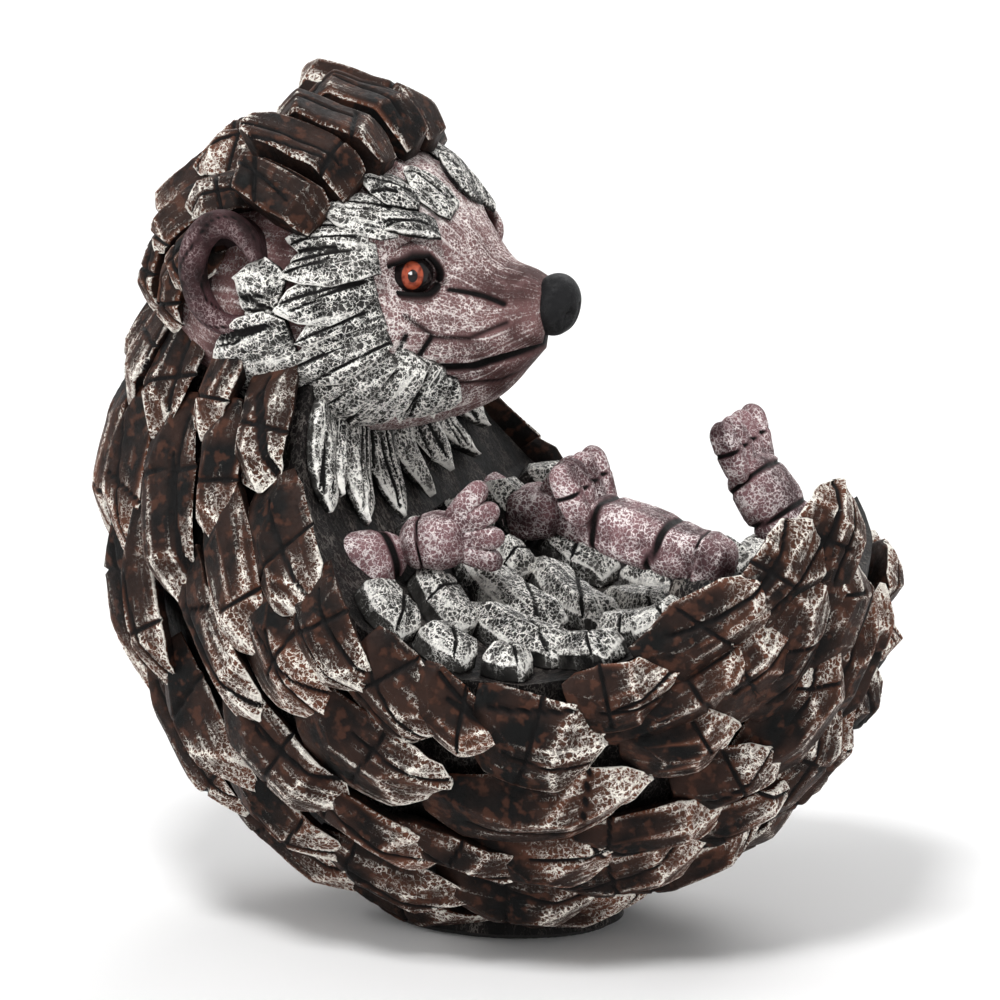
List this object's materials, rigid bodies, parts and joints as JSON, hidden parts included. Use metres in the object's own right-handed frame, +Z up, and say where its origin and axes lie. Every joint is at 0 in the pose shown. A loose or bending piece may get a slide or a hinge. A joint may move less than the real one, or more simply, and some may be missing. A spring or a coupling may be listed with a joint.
{
  "type": "hedgehog figurine",
  "caption": "Chiselled, painted figurine of a hedgehog curled up on its round back, belly and paws up, standing on a small flat foot with a felt pad",
  "frame": {"origin": "centre of the felt pad's lower face, under the middle of the curled back, on the surface that the figurine stands on", "axes": "+X towards the animal's feet and nose, +Y towards its left side, +Z up"},
  "size_m": [0.1947, 0.1504, 0.1929],
  "materials": {
    "quill_paint": "satin paint over cast resin, charcoal and maroon with cream dry-brushed edges",
    "fur_paint": "satin paint over cast resin, cream over dark grooves",
    "head_paint": "satin paint over cast resin, mauve-brown with cream crackle",
    "ear_paint": "satin paint over cast resin",
    "paw_paint": "satin paint over cast resin, pink with cream crackle",
    "shadow_paint": "matt paint over cast resin",
    "nose_paint": "satin paint over cast resin",
    "eye_paint": "gloss varnish",
    "felt": "wool felt"
  },
  "bodies": {
    "root": {"body_casting": "shadow_paint", "base_foot": "shadow_paint", "felt_pad": "felt", "head_casting": "head_paint", "lower_jaw": "head_paint", "nose_pad": "nose_paint", "eye_right": "eye_paint", "eye_left": "eye_paint", "ear_right": "ear_paint", "ear_left": "ear_paint", "arm_right": "paw_paint", "arm_left": "paw_paint", "hind_leg_right": "paw_paint", "hind_leg_left": "paw_paint", "hind_foot_right": "paw_paint", "hind_foot_left": "paw_paint", "chest_fur": "fur_paint", "belly_blocks": "fur_paint", "face_fur_right": "fur_paint", "face_fur_left": "fur_paint", "crown_quills": "quill_paint", "nape_quills": "quill_paint", "rim_quills_right": "quill_paint", "rim_quills_left": "quill_paint", "flank_quills_right": "quill_paint", "flank_quills_left": "quill_paint", "side_quills_right": "quill_paint", "side_quills_left": "quill_paint", "back_quills_right": "quill_paint", "back_quills_left": "quill_paint", "spine_side_quills_right": "quill_paint", "spine_side_quills_left": "quill_paint", "spine_quills": "quill_paint"}
  },
  "joints": []
}
